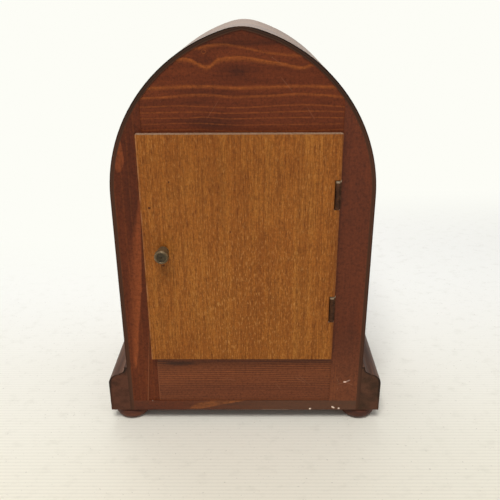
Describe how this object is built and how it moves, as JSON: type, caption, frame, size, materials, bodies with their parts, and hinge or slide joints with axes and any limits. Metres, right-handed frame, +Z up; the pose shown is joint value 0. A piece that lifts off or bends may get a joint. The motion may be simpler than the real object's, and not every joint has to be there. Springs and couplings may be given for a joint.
{
  "type": "chiming mantel clock",
  "caption": "Lancet-topped wooden mantel clock on bun feet, with a hinged back door and a three-train chiming spring movement with pendulum, hammers and gong rods.",
  "frame": {"origin": "on the floor, under the middle of the clock's box", "axes": "+Z up; the dial faces -Y and the back door faces +Y; the hinges of the back door are on the -X side"},
  "size_m": [0.266, 0.186, 0.373],
  "materials": {
    "skin_walnut": "semi-gloss lacquer",
    "front_veneer": "gloss lacquer",
    "stained_pine_rail": "stained, matt",
    "stained_pine_stile": "stained, matt",
    "stained_pine_board": "stained, matt",
    "stained_moulding": "semi-gloss lacquer",
    "turned_feet": "semi-gloss lacquer",
    "door_veneer": "satin lacquer",
    "aged_brass": "dull patina",
    "bronze_knob": "dark patina",
    "plain_brass": "satin",
    "silvered_dial": "matt silvering",
    "bezel_brass": "polished",
    "clock_glass": "clear",
    "blued_steel": "blued",
    "bright_steel": "fine grained",
    "black_iron": "black japan",
    "gong_bronze": "drawn",
    "bob_brass": "spun",
    "barrel_brass": "turned",
    "plate_brass": "straight grained",
    "hammer_brass": "turned",
    "wheel_brass": "crossed out and polished"
  },
  "bodies": {
    "case": {"case_skin": "skin_walnut", "front_panel": "front_veneer", "top_rail": "stained_pine_rail", "bottom_rail": "stained_pine_rail", "left_stile": "stained_pine_stile", "right_stile": "stained_pine_stile", "bottom_board": "stained_pine_board", "front_moulding": "stained_moulding", "left_moulding": "stained_moulding", "right_moulding": "stained_moulding", "bun_feet": "turned_feet", "frame_hinge_leaves": "aged_brass", "dial_plate": "silvered_dial", "bezel_seat": "bezel_brass", "front_plate": "plate_brass", "back_plate": "plate_brass", "plate_pillars": "plain_brass", "mounting_posts": "bright_steel", "hammer_arbor": "bright_steel", "pendulum_cock": "plain_brass", "clicks": "bright_steel", "gong_block": "black_iron", "gong_rods": "gong_bronze"},
    "door": {"back_door": "door_veneer", "door_hinge_leaves": "aged_brass"},
    "knob": {"door_knob": "bronze_knob", "door_latch": "plain_brass"},
    "bezel": {"bezel": "bezel_brass", "bezel_glass": "clock_glass"},
    "minute_hand": {"minute_hand": "blued_steel", "cannon_pinion": "wheel_brass", "centre_wheel": "wheel_brass"},
    "minute_wheel": {"minute_wheel": "wheel_brass"},
    "hour_hand": {"hour_hand": "blued_steel", "hour_wheel": "wheel_brass"},
    "second_wheel": {"second_wheel": "wheel_brass"},
    "time_barrel": {"time_barrel": "barrel_brass"},
    "third_wheel": {"third_wheel": "wheel_brass"},
    "escape_wheel": {"escape_wheel": "wheel_brass"},
    "pendulum": {"suspension_spring": "bright_steel", "pendulum_rod": "plain_brass", "pendulum_bob": "bob_brass"},
    "anchor": {"anchor": "bright_steel"},
    "strike_barrel": {"strike_barrel": "barrel_brass"},
    "strike_pin_wheel": {"strike_pin_wheel": "wheel_brass"},
    "strike_third_wheel": {"strike_third_wheel": "wheel_brass"},
    "strike_fly": {"strike_fly": "wheel_brass"},
    "chime_barrel": {"chime_barrel": "barrel_brass"},
    "chime_second_wheel": {"chime_second_wheel": "wheel_brass"},
    "chime_drum": {"chime_drum": "wheel_brass"},
    "chime_third_wheel": {"chime_third_wheel": "wheel_brass"},
    "chime_fly": {"chime_fly": "wheel_brass"},
    "time_arbor": {"time_arbor": "bright_steel"},
    "strike_arbor": {"strike_arbor": "bright_steel"},
    "chime_arbor": {"chime_arbor": "bright_steel"},
    "chime_hammer_1": {"chime_hammer_1": "hammer_brass"},
    "chime_hammer_2": {"chime_hammer_2": "hammer_brass"},
    "chime_hammer_3": {"chime_hammer_3": "hammer_brass"},
    "chime_hammer_4": {"chime_hammer_4": "hammer_brass"},
    "strike_hammer": {"strike_hammer": "hammer_brass"}
  },
  "joints": [
    {"name": "door_swing", "type": "hinge", "parent": "case", "child": "door", "pos_m": [-0.08025, 0.0768, 0.184], "axis": [0, 0, 1], "range_deg": [0, 120]},
    {"name": "knob_turn", "type": "hinge", "parent": "door", "child": "knob", "pos_m": [0.0701, 0.071, 0.1875], "axis": [0, 1, 0], "range_deg": [0, 90]},
    {"name": "bezel_swing", "type": "hinge", "parent": "case", "child": "bezel", "pos_m": [-0.0902, -0.0773, 0.218], "axis": [0, 0, -1], "range_deg": [0, 110]},
    {"name": "minute_hand_turn", "type": "hinge", "parent": "case", "child": "minute_hand", "pos_m": [0, -0.0258, 0.218], "axis": [0, 1, 0], "continuous": true},
    {"name": "minute_wheel_turn", "type": "hinge", "parent": "case", "child": "minute_wheel", "pos_m": [-0.01697, -0.046, 0.23497], "axis": [0, 1, 0], "continuous": true},
    {"name": "hour_hand_turn", "type": "hinge", "parent": "case", "child": "hour_hand", "pos_m": [0, -0.046, 0.218], "axis": [0, 1, 0], "continuous": true},
    {"name": "second_wheel_turn", "type": "hinge", "parent": "case", "child": "second_wheel", "pos_m": [0.00378, -0.0258, 0.19673], "axis": [0, 1, 0], "continuous": true},
    {"name": "time_barrel_turn", "type": "hinge", "parent": "case", "child": "time_barrel", "pos_m": [0, -0.0258, 0.17], "axis": [0, 1, 0], "continuous": true},
    {"name": "third_wheel_turn", "type": "hinge", "parent": "case", "child": "third_wheel", "pos_m": [0.00968, -0.0258, 0.23477], "axis": [0, 1, 0], "continuous": true},
    {"name": "escape_wheel_turn", "type": "hinge", "parent": "case", "child": "escape_wheel", "pos_m": [0, -0.0258, 0.25041], "axis": [0, 1, 0], "continuous": true},
    {"name": "pendulum_swing", "type": "hinge", "parent": "case", "child": "pendulum", "pos_m": [0, 0.0064, 0.26518], "axis": [0, 1, 0], "range_deg": [-3, 3]},
    {"name": "anchor_rock", "type": "hinge", "parent": "case", "child": "anchor", "pos_m": [0, -0.0258, 0.26518], "axis": [0, 1, 0], "range_deg": [-3, 3]},
    {"name": "strike_barrel_turn", "type": "hinge", "parent": "case", "child": "strike_barrel", "pos_m": [-0.046, -0.0258, 0.202], "axis": [0, 1, 0], "continuous": true},
    {"name": "strike_pin_wheel_turn", "type": "hinge", "parent": "case", "child": "strike_pin_wheel", "pos_m": [-0.05352, -0.0258, 0.17607], "axis": [0, 1, 0], "continuous": true},
    {"name": "strike_third_wheel_turn", "type": "hinge", "parent": "case", "child": "strike_third_wheel", "pos_m": [-0.07084, -0.0258, 0.16607], "axis": [0, 1, 0], "continuous": true},
    {"name": "strike_fly_turn", "type": "hinge", "parent": "case", "child": "strike_fly", "pos_m": [-0.07644, -0.0258, 0.17577], "axis": [0, 1, 0], "continuous": true},
    {"name": "chime_barrel_turn", "type": "hinge", "parent": "case", "child": "chime_barrel", "pos_m": [0.046, -0.0258, 0.202], "axis": [0, 1, 0], "continuous": true},
    {"name": "chime_second_wheel_turn", "type": "hinge", "parent": "case", "child": "chime_second_wheel", "pos_m": [0.05352, -0.0258, 0.17607], "axis": [0, 1, 0], "continuous": true},
    {"name": "chime_drum_turn", "type": "hinge", "parent": "case", "child": "chime_drum", "pos_m": [0.04, -0.0258, 0.16], "axis": [0, 1, 0], "continuous": true},
    {"name": "chime_third_wheel_turn", "type": "hinge", "parent": "case", "child": "chime_third_wheel", "pos_m": [0.07084, -0.0258, 0.16607], "axis": [0, 1, 0], "continuous": true},
    {"name": "chime_fly_turn", "type": "hinge", "parent": "case", "child": "chime_fly", "pos_m": [0.07644, -0.0258, 0.17577], "axis": [0, 1, 0], "continuous": true},
    {"name": "time_arbor_turn", "type": "hinge", "parent": "case", "child": "time_arbor", "pos_m": [0, -0.0258, 0.17], "axis": [0, 1, 0], "continuous": true},
    {"name": "strike_arbor_turn", "type": "hinge", "parent": "case", "child": "strike_arbor", "pos_m": [-0.046, -0.0258, 0.202], "axis": [0, 1, 0], "continuous": true},
    {"name": "chime_arbor_turn", "type": "hinge", "parent": "case", "child": "chime_arbor", "pos_m": [0.046, -0.0258, 0.202], "axis": [0, 1, 0], "continuous": true},
    {"name": "chime_hammer_1_lift", "type": "hinge", "parent": "case", "child": "chime_hammer_1", "pos_m": [0.026, -0.0258, 0.148], "axis": [0, -1, 0], "range_deg": [0, 10]},
    {"name": "chime_hammer_2_lift", "type": "hinge", "parent": "case", "child": "chime_hammer_2", "pos_m": [0.026, -0.0258, 0.148], "axis": [0, -1, 0], "range_deg": [0, 10]},
    {"name": "chime_hammer_3_lift", "type": "hinge", "parent": "case", "child": "chime_hammer_3", "pos_m": [0.026, -0.0258, 0.148], "axis": [0, -1, 0], "range_deg": [0, 10]},
    {"name": "chime_hammer_4_lift", "type": "hinge", "parent": "case", "child": "chime_hammer_4", "pos_m": [0.026, -0.0258, 0.148], "axis": [0, -1, 0], "range_deg": [0, 10]},
    {"name": "strike_hammer_lift", "type": "hinge", "parent": "case", "child": "strike_hammer", "pos_m": [0.026, -0.0258, 0.148], "axis": [0, -1, 0], "range_deg": [0, 10]}
  ],
  "couplings": [
    {"joint": "minute_wheel_turn", "follows": "minute_hand_turn", "ratio": -0.33333},
    {"joint": "hour_hand_turn", "follows": "minute_hand_turn", "ratio": 0.083333},
    {"joint": "second_wheel_turn", "follows": "minute_hand_turn", "ratio": -0.2},
    {"joint": "time_barrel_turn", "follows": "minute_hand_turn", "ratio": 0.030769},
    {"joint": "third_wheel_turn", "follows": "minute_hand_turn", "ratio": -10},
    {"joint": "escape_wheel_turn", "follows": "minute_hand_turn", "ratio": 105},
    {"joint": "anchor_rock", "follows": "pendulum_swing", "ratio": 1},
    {"joint": "strike_pin_wheel_turn", "follows": "strike_barrel_turn", "ratio": -6.5},
    {"joint": "strike_third_wheel_turn", "follows": "strike_barrel_turn", "ratio": 58.5},
    {"joint": "strike_fly_turn", "follows": "strike_barrel_turn", "ratio": -351},
    {"joint": "chime_second_wheel_turn", "follows": "chime_barrel_turn", "ratio": -6.5},
    {"joint": "chime_drum_turn", "follows": "chime_barrel_turn", "ratio": 39},
    {"joint": "chime_third_wheel_turn", "follows": "chime_barrel_turn", "ratio": 58.5},
    {"joint": "chime_fly_turn", "follows": "chime_barrel_turn", "ratio": -351}
  ]
}
